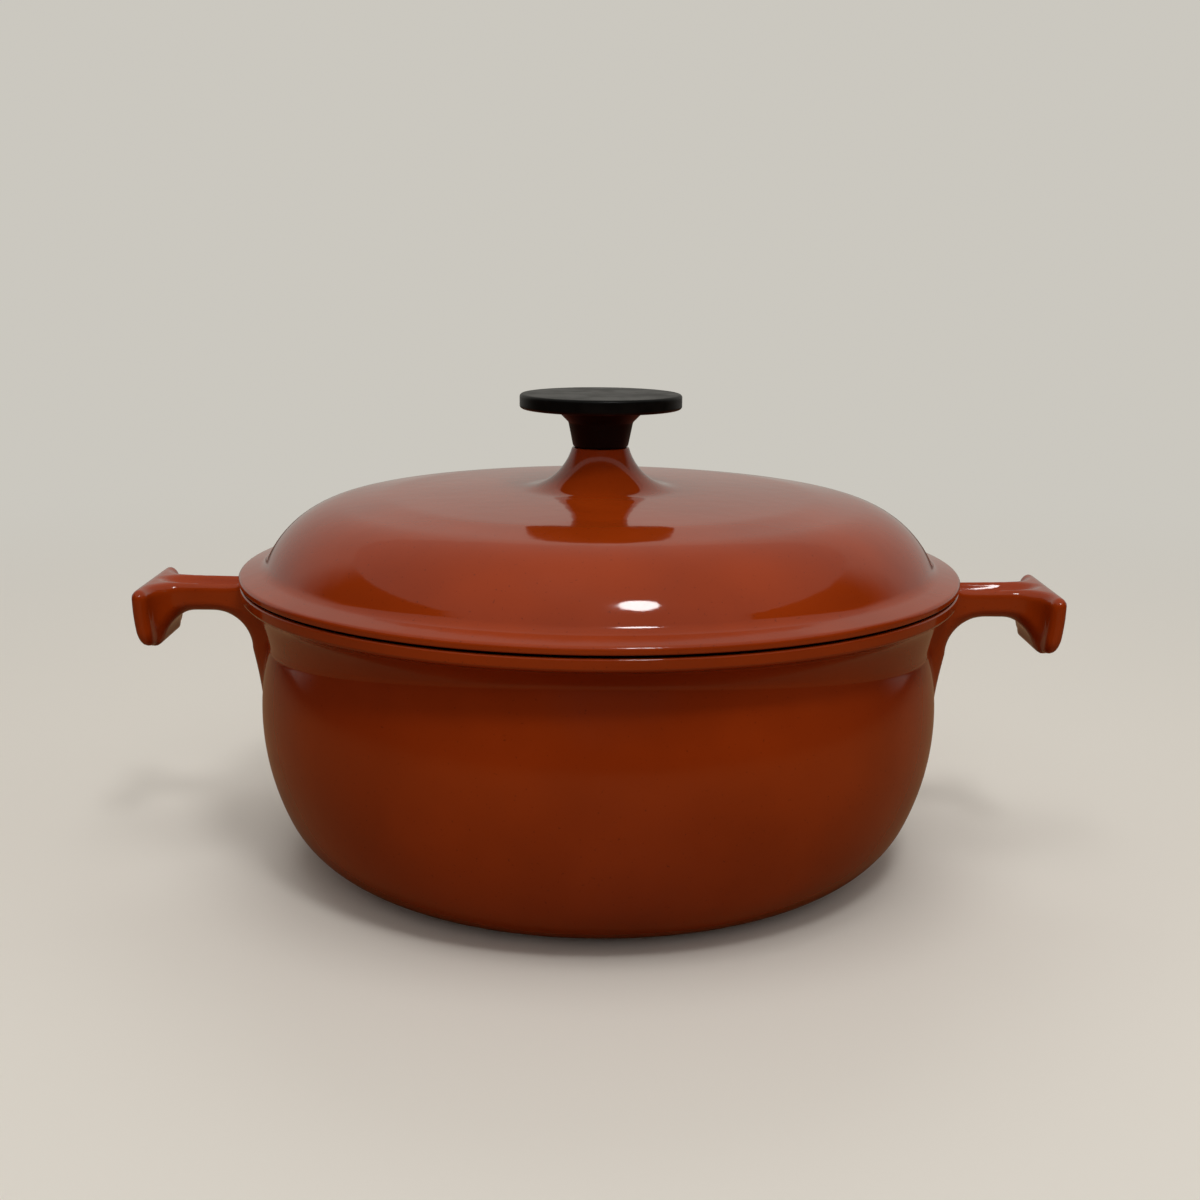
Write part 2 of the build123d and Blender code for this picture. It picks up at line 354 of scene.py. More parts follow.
def lathe(profile: Points, marks: dict[str, Points] | None = None) -> Skin:
    """Skin of a profile turned about Z: (r cos t, r sin t, z) on a grid of profile points and angles t.

    A profile that starts and ends on the axis closes in a single point there, and one whose ends meet
    closes on itself.

    Args:
        profile: points (r, z), with the solid on their left.
        marks: values for each point of the profile, by name.

    Returns:
        The closed skin.
    """
    looped = bool(np.allclose(profile[0], profile[-1]))
    rows = profile[:-1] if looped else profile
    t = 2 * pi * np.arange(TURN_STEPS) / TURN_STEPS
    radius, height = rows[:, :1], np.repeat(rows[:, 1:], TURN_STEPS, axis=1)
    grid = np.stack((radius * np.cos(t), radius * np.sin(t), height), axis=-1)
    pole = rows[:, 0] < SAME
    kept = ~pole[:, None] | (np.arange(TURN_STEPS) == 0)
    place = np.cumsum(kept).reshape(kept.shape) - 1
    place[pole] = place[pole, :1]
    ring = np.roll(place, -1, axis=1)
    upper, upper_ring = np.roll(place, -1, axis=0), np.roll(ring, -1, axis=0)
    quads = np.stack((place, ring, upper_ring, upper), axis=-1)
    if not looped:
        quads = quads[:-1]
    low_pole, high_pole = pole[: len(quads)], np.roll(pole, -1)[: len(quads)]
    faces = quads[~low_pole & ~high_pole].reshape(-1, 4).tolist()
    faces += quads[low_pole][..., 1:].reshape(-1, 3).tolist()
    faces += quads[high_pole][..., :3].reshape(-1, 3).tolist()
    spread = {}
    for name, values in (marks or {}).items():
        spread[name] = np.repeat(values[: len(rows), None], TURN_STEPS, axis=1)[kept]
    return Skin(grid[kept], faces, spread)


# Fields: distances in millimetres to a surface, negative inside it


def outline_distance(outline: Points, u: Points, v: Points) -> Points:
    """Signed distance to a closed outline: to its nearest stretch, negative where a ray crosses it oddly.

    Args:
        outline: corners of the outline, in order.
        u: first coordinates of the places asked for.
        v: second coordinates, of a shape that broadcasts with u.

    Returns:
        The distances.
    """
    nearest = np.full(np.broadcast_shapes(u.shape, v.shape), np.inf)
    inside = np.zeros(nearest.shape, bool)
    for (au, av), (bu, bv) in zip(outline, np.roll(outline, -1, axis=0)):
        eu, ev = bu - au, bv - av
        du, dv = u - au, v - av
        share = np.clip((du * eu + dv * ev) / (eu * eu + ev * ev), 0, 1)
        np.minimum(nearest, (du - share * eu) ** 2 + (dv - share * ev) ** 2, out=nearest)
        if ev:
            inside ^= ((av > v) != (bv > v)) & (du < dv * eu / ev)
    return np.where(inside, -1, 1) * np.sqrt(nearest)


def round_and(a: Points, b: Points, radius: float) -> Points:
    """Field of what two solids share, its edge rounded: min(max(a, b), -r) + |max((a + r, b + r), 0)|."""
    corner = np.hypot(np.maximum(a + radius, 0), np.maximum(b + radius, 0))
    return np.minimum(np.maximum(a, b), -radius) + corner


def smooth_or(a: Points, b: Points, reach: float) -> Points:
    """Field of two solids run together: min(a, b) - reach h^3 / 6, with h = 1 - |a - b| / reach, or 0."""
    h = np.maximum(1 - np.abs(a - b) / reach, 0)
    return np.minimum(a, b) - reach * h**3 / 6


def skin_of(solid: "HookHandle", low: Points, high: Points, cell: float) -> Skin:
    """Skin of a solid that is given as a field.

    The box is cut into cubic cells. Each cell that the surface passes through holds one point, the mean of
    where the surface crosses the cell's edges, and each crossed edge is a face between the four cells round
    it. The points then move onto the surface, down the slope of the field: p - f(p) grad f / |grad f|^2.

    Args:
        solid: what has the field.
        low: lowest corner of the box.
        high: highest corner.
        cell: size of a cell.

    Returns:
        The closed skin.
    """
    count = np.ceil((high - low) / cell).astype(int) + 1
    axes = [low[k] + cell * np.arange(count[k]) for k in range(3)]
    value = solid.field(axes[0][:, None, None], axes[1][None, :, None], axes[2][None, None, :])
    inside = value < 0
    cells = tuple(count - 1)
    total = np.zeros((*cells, 3))
    hits = np.zeros(cells)
    for k in range(3):
        near = np.moveaxis(value, k, 0)
        crossed = np.moveaxis(inside, k, 0)[:-1] != np.moveaxis(inside, k, 0)[1:]
        share = np.where(crossed, near[:-1] / np.where(crossed, near[:-1] - near[1:], 1), 0)
        for p in (0, 1):
            for q in (0, 1):
                part = (slice(None), slice(p, crossed.shape[1] - 1 + p), slice(q, crossed.shape[2] - 1 + q))
                hit = crossed[part].astype(float)
                first, second = [a for a in range(3) if a != k]
                hits += np.moveaxis(hit, 0, k)
                total[..., k] += np.moveaxis(share[part], 0, k)
                total[..., first] += np.moveaxis(hit * p, 0, k)
                total[..., second] += np.moveaxis(hit * q, 0, k)
    used = hits > 0
    number = np.cumsum(used).reshape(cells) - 1
    corner = np.stack(np.meshgrid(*(np.arange(n) for n in cells), indexing="ij"), axis=-1)
    points = low + cell * (corner[used] + total[used] / hits[used][:, None])
    faces: list[list[int]] = []
    for k in range(3):
        a, b = (k + 1) % 3, (k + 2) % 3
        cut = np.argwhere(np.diff(inside.astype(int), axis=k))
        cut = cut[(cut[:, a] > 0) & (cut[:, b] > 0)]
        cut = cut[(cut[:, a] < cells[a]) & (cut[:, b] < cells[b])]
        outward = inside[tuple(cut.T)]
        step_a, step_b = np.eye(3, dtype=int)[a], np.eye(3, dtype=int)[b]
        ring = [cut - step_a - step_b, cut - step_b, cut, cut - step_a]
        quads = np.stack([number[tuple(c.T)] for c in ring], axis=1)
        faces += np.where(outward[:, None], quads, quads[:, ::-1]).tolist()
    nudge = SLOPE_STEP * cell
    for _ in range(SETTLE_ROUNDS):
        rises = [
            solid.field(*(points + nudge * axis).T) - solid.field(*(points - nudge * axis).T)
            for axis in np.eye(3)
        ]
        slope = np.stack(rises, axis=1) / (2 * nudge)
        gain = solid.field(*points.T) / np.maximum((slope**2).sum(axis=1), LEAST_SLOPE)
        points = points - np.clip(gain, -cell / 2, cell / 2)[:, None] * slope
    return Skin(points, faces)


# Finishes


def linear(code: str) -> tuple[float, float, float, float]:
    """Linear colour of an sRGB hex code, by the sRGB curve.

    Args:
        code: the colour, as #rrggbb.

    Returns:
        Red, green and blue, with full alpha.
    """
    shares = [int(code[i : i + 2], 16) / 255 for i in (1, 3, 5)]
    red, green, blue = (s / 12.92 if s <= 0.04045 else ((s + 0.055) / 1.055) ** 2.4 for s in shares)
    return red, green, blue, 1.0


def per_metre(size: float) -> float:
    """Pattern scale that gives features of a size in millimetres."""
    return 1 / (size * MM)


def add_node(tree: Tree, kind: str, settings: Settings, links: dict[str | int, Socket]) -> bpy.types.Node:
    """Adds a node to a tree, with its settings and links.

    Args:
        tree: tree to add to.
        kind: type of the node, without the ShaderNode in front.
        settings: values by property name, or by name or number of an input.
        links: outputs to link, by name or number of an input.

    Returns:
        The node.
    """
    node = tree.nodes.new("ShaderNode" + kind)
    for key, value in settings.items():
        if isinstance(key, int) or key in node.inputs:
            node.inputs[key].default_value = value
        else:
            setattr(node, key, value)
    for key, output in links.items():
        tree.links.new(output, node.inputs[key])
    return node


def fill_tree(tree: Tree, rows: Rows) -> None:
    """Fills a tree with a table of nodes.

    Args:
        tree: tree to fill, which is emptied first.
        rows: the nodes by name, in an order in which each links only to earlier ones. A link is a node's
            name and, after a dot, the name or number of its output.
    """
    tree.nodes.clear()
    nodes: dict[str, bpy.types.Node] = {}
    for name, (kind, settings, links) in rows.items():
        sockets = {}
        for key, link in links.items():
            source, output = link.split(".")
            sockets[key] = nodes[source].outputs[int(output) if output.isdigit() else output]
        nodes[name] = add_node(tree, kind, settings, sockets)


def new_material(name: str, rows: Rows) -> Material:
    """Makes a material from a table of nodes.

    Args:
        name: name of the material.
        rows: its nodes. They may link to where.Object, and the one called shader is the surface.

    Returns:
        The material.
    """
    material = bpy.data.materials.new(name)
    material.use_nodes = True
    first: Rows = {"where": ("TexCoord", {}, {})}
    last: Rows = {"output": ("OutputMaterial", {}, {"Surface": "shader.0"})}
    fill_tree(material.node_tree, first | rows | last)
    return material


# Links that finishes share: of a pattern to the piece's own coordinates, and of what the shader shows.
# A Mix node's sockets go by number, because their names repeat: for numbers 2 and 3 are mixed into 0, for
# colours 6 and 7 into 2.
WHERE = {"Vector": "where.Object"}
SURFACE = {"Base Color": "colour.2", "Roughness": "roughness.0", "Normal": "bump.Normal"}


@dataclass(frozen=True)
class VitreousEnamel:
    """Glass fused to iron in a kiln: a clear deep gloss, faint ripples, a slow drift of colour, fine specks.

    Bare rims, marked on the mesh, are the dull black ground coat, and end in a ragged edge.
    """

    name: str
    colour: str
    deep_colour: str
    speck_colour: str
    drift_size: float = 55.0
    drift_range: Range = (0.35, 0.65)
    speck_size: float = 0.9
    speck_range: Range = (0.7, 0.78)
    speck_strength: float = 0.6
    ragged_size: float = 2.5
    ragged_share: float = 0.6
    bare_range: Range = (0.75, 0.85)
    smear_size: float = 30.0
    smear_range: Range = (0.3, 0.7)
    ripple_size: float = 7.0
    ripple_height: float = 0.05
    peel_size: float = 2.2
    peel_height: float = 0.004
    gloss: Range = (0.05, 0.11)
    ior: float = 1.53
    ground_colour: str = "#1b1816"
    ground_roughness: float = 0.5

    def material(self) -> Material:
        """Builds the material: colour by noise, black rims by the mark bare, ripples as bump.

        Returns:
            The material.
        """
        drift_low, drift_high = self.drift_range
        speck_low, speck_high = self.speck_range
        bare_low, bare_high = self.bare_range
        smear_low, smear_high = self.smear_range
        smooth, rough = self.gloss
        smear = {"From Min": smear_low, "From Max": smear_high, "To Min": smooth, "To Max": rough}
        specks = {"From Min": speck_low, "From Max": speck_high, "To Max": self.speck_strength}
        glaze = {"data_type": "RGBA", 6: linear(self.colour), 7: linear(self.deep_colour)}
        peel = self.peel_height / self.ripple_height
        rows: Rows = {
            "drift": ("TexNoise", {"Scale": per_metre(self.drift_size), "Detail": 3.0}, WHERE),
            "drifted": ("MapRange", {"From Min": drift_low, "From Max": drift_high}, {"Value": "drift.Fac"}),
            "glaze": ("Mix", glaze, {0: "drifted.Result"}),
            "specks": ("TexNoise", {"Scale": per_metre(self.speck_size), "Detail": 1.0}, WHERE),
            "specked": ("MapRange", specks, {"Value": "specks.Fac"}),
            "glass": (
                "Mix",
                {"data_type": "RGBA", 7: linear(self.speck_colour)},
                {0: "specked.Result", 6: "glaze.2"},
            ),
            "mark": ("Attribute", {"attribute_name": "bare"}, {}),
            "ragged": ("TexNoise", {"Scale": per_metre(self.ragged_size), "Detail": 3.0}, WHERE),
            "edge": (
                "Math",
                {"operation": "MULTIPLY_ADD", 1: self.ragged_share},
                {0: "ragged.Fac", 2: "mark.Fac"},
            ),
            "bare": ("MapRange", {"From Min": bare_low, "From Max": bare_high}, {"Value": "edge.Value"}),
            "colour": (
                "Mix",
                {"data_type": "RGBA", 7: linear(self.ground_colour)},
                {0: "bare.Result", 6: "glass.2"},
            ),
            "smear": ("TexNoise", {"Scale": per_metre(self.smear_size), "Detail": 4.0}, WHERE),
            "gloss": ("MapRange", smear, {"Value": "smear.Fac"}),
            "roughness": (
                "Mix",
                {"data_type": "FLOAT", 3: self.ground_roughness},
                {0: "bare.Result", 2: "gloss.Result"},
            ),
            "ripple": ("TexNoise", {"Scale": per_metre(self.ripple_size), "Detail": 1.0}, WHERE),
            "peel": ("TexNoise", {"Scale": per_metre(self.peel_size), "Detail": 1.0}, WHERE),
            "height": ("Math", {"operation": "MULTIPLY_ADD", 1: peel}, {0: "peel.Fac", 2: "ripple.Fac"}),
            "bump": ("Bump", {"Distance": self.ripple_height * MM}, {"Height": "height.Value"}),
            "shader": ("BsdfPrincipled", {"IOR": self.ior}, SURFACE),
        }
        return new_material(self.name, rows)


@dataclass(frozen=True)
class MouldedPhenolic:
    """Black phenolic pressed in a steel mould: dense, satin, with a faint grain and a little grey dust.

    Its ior is under the resin's usual 1.6, matched to how little the real knob mirrors.
    """

    name: str = "moulded_black_phenolic"
    colour: str = "#080807"
    dust_colour: str = "#111110"
    dust_size: float = 9.0
    dust_range: Range = (0.4, 0.75)
    grain_size: float = 0.45
    grain_height: float = 0.006
    roughness: Range = (0.34, 0.46)
    ior: float = 1.27

    def material(self) -> Material:
        """Builds the material: dust by noise on the colour and the sheen, grain as bump.

        Returns:
            The material.
        """
        dust_low, dust_high = self.dust_range
        smooth, rough = self.roughness
        dusting = {"data_type": "RGBA", 6: linear(self.colour), 7: linear(self.dust_colour)}
        rows: Rows = {
            "dust": ("TexNoise", {"Scale": per_metre(self.dust_size), "Detail": 5.0}, WHERE),
            "dusty": ("MapRange", {"From Min": dust_low, "From Max": dust_high}, {"Value": "dust.Fac"}),
            "colour": ("Mix", dusting, {0: "dusty.Result"}),
            "roughness": ("MapRange", {"To Min": smooth, "To Max": rough}, {"Value": "dusty.Result"}),
            "grain": ("TexNoise", {"Scale": per_metre(self.grain_size), "Detail": 2.0}, WHERE),
            "bump": ("Bump", {"Distance": self.grain_height * MM}, {"Height": "grain.Fac"}),
            "shader": ("BsdfPrincipled", {"IOR": self.ior}, SURFACE),
        }
        return new_material(self.name, rows)


@dataclass(frozen=True)
class TurnedMetal:
    """Small turned metal part: bright, with fine tool rings about its axis and a slow change of tarnish.

    The rings lie 2 pi times ring_size apart.
    """

    name: str
    colour: str
    tarnish_colour: str
    ring_size: float = 0.35
    ring_height: float = 0.003
    tarnish_size: float = 4.0
    roughness: Range = (0.24, 0.42)

    def material(self) -> Material:
        """Builds the material: tarnish by noise, tool rings as bump by distance from the Z axis.

        Returns:
            The material.
        """
        smooth, rough = self.roughness
        tarnishing = {"data_type": "RGBA", 6: linear(self.colour), 7: linear(self.tarnish_colour)}
        turning = {"wave_type": "RINGS", "rings_direction": "Z"}
        rows: Rows = {
            "tarnish": ("TexNoise", {"Scale": per_metre(self.tarnish_size), "Detail": 4.0}, WHERE),
            "colour": ("Mix", tarnishing, {0: "tarnish.Fac"}),
            "roughness": ("MapRange", {"To Min": smooth, "To Max": rough}, {"Value": "tarnish.Fac"}),
            "rings": ("TexWave", turning | {"Scale": per_metre(self.ring_size) / WAVE_RADIANS}, WHERE),
            "bump": ("Bump", {"Distance": self.ring_height * MM}, {"Height": "rings.Fac"}),
            "shader": ("BsdfPrincipled", {"Metallic": 1.0}, SURFACE),
        }
        return new_material(self.name, rows)


ORANGE_ENAMEL = VitreousEnamel("orange_vitreous_enamel", "#a23a0a", "#943307", "#642005")
CREAM_ENAMEL = VitreousEnamel("cream_vitreous_enamel", "#e3d9bd", "#dccfae", "#a08c66")
BLACK_PHENOLIC = MouldedPhenolic()
INSERT_BRASS = TurnedMetal("turned_brass", "#d9b25f", "#a88238")
SCREW_STEEL = TurnedMetal("zinc_plated_steel", "#c3c4c6", "#8e8f92")


def dress(piece: bpy.types.Object, finish: Material, body: Body, slot: Slot, *nodes: str) -> None:
    """Gives a new piece its finish and its body, and hides the model's nodes that it stands for.

    Args:
        piece: the new piece.
        finish: its material.
        body: what it moves with.
        slot: not used.
        nodes: nodes that it replaces.
    """
    piece.data.materials.append(finish)
    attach(piece, body.value)
    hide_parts(*nodes)
    LOG.info("%s: %d points, %d faces", piece.name, len(piece.data.vertices), len(piece.data.polygons))


# Sub-assemblies


@dataclass
class PotCasting:
    """The iron pot, turned about Z, with its enamel lining. The two hook handles run into its wall."""

    belly_radius: float = 121.0
    belly_height: float = 56.4
    wall_arc: float = 86.0
    corner_arc: float = 35.3
    wall: float = 4.6
    enamel: float = 0.4
    rim_height: float = 102.3
    lip_radius: float = 127.2
    lip_band: float = 4.0
    lip_edge: float = 1.3
    rim_edge: float = 0.7
    neck_height: float = 90.2
    neck_fillet: float = 2.0
    cove_arc: float = 18.0
    sweep: float = 11.0
    mouth_radius: float = 115.4
    mouth_flare: float = 22.0
    mouth_edge: float = 1.2
    throat_arc: float = 8.0
    foot_ring_width: float = 14.0
    foot_recess: float = 0.6
    bare_inset: float = 1.0

    def __post_init__(self) -> None:
        """Works out the places that follow from the sizes."""
        self.wall_centre = (self.belly_radius - self.wall_arc, self.belly_height)
        slack = self.wall_arc - self.corner_arc
        self.corner_angle = degrees(asin((self.belly_height - self.corner_arc) / slack))
        self.base_radius = self.wall_centre[0] + slack * cos(radians(self.corner_angle))
        self.lining_top = self.rim_height - 2 * self.mouth_edge
        outside = self.outside()
        self.section = outside[: int(np.argmax(outside[:, 1] > self.rim_height - SAME)) + 1]

    def outside(self) -> Points:
        """Outer half section from the foot's edge up to the rim, with arcs for corner, wall and cove.

        Returns:
            The points, from the foot upwards.
        """
        neck_angle = degrees(asin((self.neck_height - self.belly_height) / self.wall_arc))
        lip_low = self.rim_height - self.lip_band
        corner = arc((self.base_radius, self.corner_arc), self.corner_arc, -90, -self.corner_angle)
        wall = arc(self.wall_centre, self.wall_arc, -self.corner_angle, neck_angle)
        lip_foot = (self.lip_radius, lip_low)
        lip_head = (self.lip_radius, self.rim_height)
        return chain(
            join(corner, wall),
            (self.neck_fillet, arc_between(tuple(wall[-1]), lip_foot, self.cove_arc)),
            (self.lip_edge, run(lip_foot, lip_head)),
            (self.rim_edge, run(lip_head, (self.mouth_radius, self.rim_height))),
        )

    def swept(self, x: Points, y: Points, z: Points, back: bool = False) -> Points:
        """Height that a place of the plain section has once the cove is drawn down towards the handles.

        The neck goes from its plain height to neck_height - sweep x^2 / (x^2 + y^2), the belly and the lip's
        foot keep theirs, and heights between them are stretched evenly.

        Args:
            x: first coordinates of the places asked for.
            y: second coordinates.
            z: heights.
            back: whether to go from drawn heights to plain ones instead.

        Returns:
            The heights.
        """
        belly, foot = self.belly_height, self.rim_height - self.lip_band
        plain = self.neck_height
        drawn = plain - self.sweep * x**2 / (x**2 + y**2)
        start, end = (drawn, plain) if back else (plain, drawn)
        above = foot - (foot - z) * (foot - end) / (foot - start)
        below = belly + (z - belly) * (end - belly) / (start - belly)
        within = (z > belly) & (z < foot)
        return np.where(within, np.where(z > start, above, below), z)

    def wall_reach(self, z: Points) -> Points:
        """Distance of the wall's arc from its centre, sideways: sqrt(wall_arc^2 - (z - belly)^2), or 0."""
        return np.sqrt(np.maximum(self.wall_arc**2 - (z - self.belly_height) ** 2, 0))

    def outer_radius(self, x: Points, y: Points, z: Points) -> Points:
        """Radius of the outside over a place: r(p) + w(z) - w(p), with p the plain height that belongs to z.

        Here r is the plain half section and w the wall's arc, carried on above the neck.

        Args:
            x: first coordinates of the places asked for.
            y: second coordinates.
            z: third coordinates.

        Returns:
            The radii.
        """
        plain = self.swept(x, y, z, back=True)
        section = np.interp(plain, self.section[:, 1], self.section[:, 0])
        return section + self.wall_reach(z) - self.wall_reach(plain)

    def hollow(self, depth: float) -> Points:
        """Inner half section from the middle of the floor up to the mouth.

        Args:
            depth: distance inside the outer surface.

        Returns:
            The points, from the axis outwards.
        """
        lean = radians(self.mouth_flare)
        mouth = (self.mouth_radius + (self.wall - depth) / cos(lean), self.rim_height)
        wall = self.wall_arc - depth
        throat = line_meets_arc(mouth, (-sin(lean), -cos(lean)), self.wall_centre, wall)
        lower = join(
            run((0, depth), (self.base_radius, depth)),
            arc((self.base_radius, self.corner_arc), self.corner_arc - depth, -90, -self.corner_angle),
            arc(self.wall_centre, wall, -self.corner_angle, angle_on(self.wall_centre, throat)),
        )
        return rounded(lower, run(throat, mouth), self.throat_arc + depth - self.wall)

    def skin(self) -> Skin:
        """Skin of the turned casting, its cove drawn down to the handles and its rim marked bare.

        Returns:
            The closed skin.
        """
        ring = self.base_radius - self.foot_ring_width
        step = self.foot_ring_width
        foot = run((0, self.foot_recess), (ring - self.foot_recess, self.foot_recess), step=step)
        foot = join(foot, run((ring, 0), (self.base_radius, 0), step=step))
        outside = join(foot, self.outside())
        inside = self.hollow(self.wall)
        mouth = inside[inside[:, 1] >= self.lining_top][::-1]
        behind = thinned(rise_to(self.hollow(self.wall - self.enamel), self.lining_top)[::-1])
        edge = rise_to(inside, self.lining_top)[-1:]
        rim = rounded(outside, join(mouth, edge), self.mouth_edge)
        profile = join(rim, behind)
        bare = np.zeros(len(profile))
        bare_radius = self.lip_radius - self.bare_inset
        bare[(profile[:, 1] > self.lining_top - self.enamel) & (profile[:, 0] < bare_radius)] = 1
        outer = np.zeros(len(profile))
        outer[len(foot) + 1 : len(foot) + len(self.section) - 1] = 1
        skin = lathe(profile, {"bare": bare, "outer": outer})
        swept = skin.marks.pop("outer") > 0
        x, y, z = skin.points[swept].T
        height = self.swept(x, y, z)
        stretch = self.outer_radius(x, y, height) / np.hypot(x, y)
        skin.points[swept] = np.column_stack((x * stretch, y * stretch, height))
        return skin

    def lining_skin(self) -> Skin:
        """Skin of the lining: up the iron, over its top edge and down the enamel's face.

        Returns:
            The closed skin.
        """
        iron = thinned(rise_to(self.hollow(self.wall - self.enamel), self.lining_top))
        face = rise_to(self.hollow(self.wall), self.lining_top)
        profile = join(iron, face[::-1])
        return lathe(profile, {"bare": np.zeros(len(profile))})

    def build(self, finish: Material, lining: Material) -> None:
        """Makes the pot with its handles as one piece, and the lining as another.

        Args:
            finish: enamel of the outside.
            lining: enamel of the inside.
        """
        handle = HookHandle(self).skin()
        whole = self.skin()
        for side in Side:
            whole = whole.plus(handle if side is Side.RIGHT else handle.mirrored())
        dress(whole.piece("pot_casting"), finish, Body.POT, Slot.ORANGE_ENAMEL, "pot")
        coat = self.lining_skin().piece("pot_enamel_lining")
        dress(coat, lining, Body.POT, Slot.CREAM_ENAMEL, "pot_lining")


@dataclass
class HookHandle:
    """Cast hook handle on the +X side: a grooved bar that turns down into a wide grip plate."""

    pot: PotCasting
    root: float = 108.0
    root_top: float = 98.8
    grip_top: float = 99.4
    bar_low: float = 88.5
    bar_width: float = 18.4
    arch_start: float = 139.5
    arch_arc: float = 13.9
    hook_start: float = 145.2
    hook_arc: float = 10.5
    gusset_foot: Place = (119.2, 44.0)
    reach: float = 163.5
    grip_width: float = 49.4
    grip_thickness: float = 5.6
    grip_low: float = 77.6
    grip_crown: float = 3.0
    grip_toe: float = 3.3
    grip_heel: float = 2.0
    grip_lean: float = 2.8
    lean_power: float = 2.5
    lean_points: int = 24
    grip_flare: float = 10.5
    grip_corner: float = 7.0
    edge: float = 2.6
    grip_edge: float = 3.6
    under_edge: float = 6.5
    edge_fade: float = 6.0
    groove_arc: float = 7.2
    groove_depth: float = 6.3
    groove_edge: float = 1.1
    groove_gain: float = 0.75
    groove_turn: float = 151.8
    groove_ease: float = 6.0
    root_blend: float = 5.5
    pad_sink: float = 0.012
    pad_depth: float = 2.4
    pad_half_width: float = 28.0
    pad_low: float = 38.0
    pad_high: float = 100.5
    cell: float = 0.95

    def __post_init__(self) -> None:
        """Draws the outlines that the field is made of."""
        self.side = self.side_outline()
        self.plan = self.plan_outline()
        self.end = self.end_outline()

    def lean(self, z: Points) -> Points:
        """Inward lean of the grip plate at a height: lean s^power, with s from 0 at its top to 1 at its toe.

        Args:
            z: heights asked for.

        Returns:
            The leans.
        """
        share = (self.grip_top - z) / (self.grip_top - self.grip_low)
        return self.grip_lean * np.clip(share, 0, 1) ** self.lean_power

    def side_outline(self) -> Points:
        """Side view in X and Z: bar, leaning plate, hook, arch and the gusset that runs down the wall.

        Returns:
            The closed outline.
        """
        hook = (self.hook_start, self.bar_low - self.hook_arc)
        arch = (self.arch_start, self.bar_low - self.arch_arc)
        height = np.linspace(self.grip_top, self.grip_low, self.lean_points)
        outer = np.column_stack((self.reach - self.lean(height), height))
        tip = arc(hook, self.hook_arc, degrees(asin((self.grip_low - hook[1]) / self.hook_arc)), 90)
        return chain(
            run((self.root, self.root_top), tuple(outer[0]), step=self.reach),
            (self.grip_crown, outer),
            (self.grip_toe, run(tuple(outer[-1]), tuple(tip[0]))),
            (self.grip_heel, tip),
            (0, arc(arch, self.arch_arc, 90, 180)),
            (0, np.array([self.gusset_foot, (self.root, self.gusset_foot[1])])),
        )

    def plan_outline(self) -> Points:
        """Plan in X and |Y|: the bar's side, the flare and the plate's inner face, open all other ways.

        Returns:
            The closed outline.
        """
        half_bar = self.bar_width / 2
        inside, beyond = self.reach - self.grip_thickness, self.reach + self.grip_thickness
        flare = (inside - self.grip_flare, half_bar + self.grip_flare)
        return join(
            np.array([(self.root, -self.grip_width), (beyond, -self.grip_width)]),
            np.array([(beyond, self.grip_width), (inside, self.grip_width)]),
            arc(flare, self.grip_flare, 0, -90),
            np.array([(self.root, half_bar)]),
        )

    def end_outline(self) -> Points:
        """End view in |Y| and Z: the grip plate with its lower corners rounded, open across the middle.

        Returns:
            The closed outline.
        """
        half_grip = self.grip_width / 2
        corner = (half_grip - self.grip_corner, self.grip_low + self.grip_corner)
        above = self.grip_top + self.grip_width
        return join(
            np.array([(-half_grip, self.pad_low), (corner[0], self.pad_low)]),
            arc(corner, self.grip_corner, -90, 0),
            np.array([(half_grip, above), (-half_grip, above)]),
        )

    def field(self, x: Points, y: Points, z: Points) -> Points:
        """Field of the handle run into the wall: three views cut together, less the groove, joined to it.

        The plan leans with the plate. Edges are rounder on the grip and under the bar than on top of it. The
        groove's axis climbs by gain ease log(1 + exp((x - turn) / ease)), so the groove runs out towards the
        grip. The part inside the pot is only a pad, a little under the wall's surface, so the skin is closed
        and comes out of the wall along a tangent.

        Args:
            x: first coordinates of the places asked for.
            y: second coordinates.
            z: third coordinates.

        Returns:
            The distances.
        """
        width = np.abs(y)
        side = outline_distance(self.side, x, z)
        low = np.clip((self.bar_low + self.edge + self.edge_fade / 2 - z) / self.edge_fade, 0, 1)
        near = np.clip((self.hook_start + self.hook_arc - x) / self.edge_fade, 0, 1)
        edge = self.grip_edge + (self.edge - self.grip_edge) * near
        edge = edge + (self.under_edge - edge) * low * near
        hook = round_and(side, outline_distance(self.plan, x + self.lean(z), width), edge)
        hook = round_and(hook, outline_distance(self.end, width, z), self.grip_edge)
        run_out = np.logaddexp(0, (x - self.groove_turn) / self.groove_ease)
        climb = self.groove_gain * self.groove_ease * run_out
        axis = self.grip_top - self.groove_depth + self.groove_arc + climb
        groove = np.hypot(y, z - axis) - self.groove_arc
        hook = round_and(hook, -groove, self.groove_edge)
        radius = self.pot.outer_radius(x, y, z)
        fall = self.pot.outer_radius(x, y, z + self.cell) - self.pot.outer_radius(x, y, z - self.cell)
        wall = (np.hypot(x, y) - radius) / np.hypot(1, fall / (2 * self.cell)) + self.pad_sink
        cast = smooth_or(hook, wall, self.root_blend)
        pad = np.maximum(-(wall + self.pad_depth), width - self.pad_half_width)
        pad = np.maximum(pad, np.maximum(self.pad_low - z, z - self.pad_high))
        return np.maximum(cast, pad)

    def skin(self) -> Skin:
        """Skin of the handle on the +X side, worked out cell by cell from its field.

        Returns:
            The closed skin.
        """
        margin = 2 * self.cell
        low = np.array((self.root, -self.pad_half_width - margin, self.pad_low - margin))
        high = np.array((self.reach + margin, self.pad_half_width + margin, self.pad_high + margin))
        return skin_of(self, low, high, self.cell)


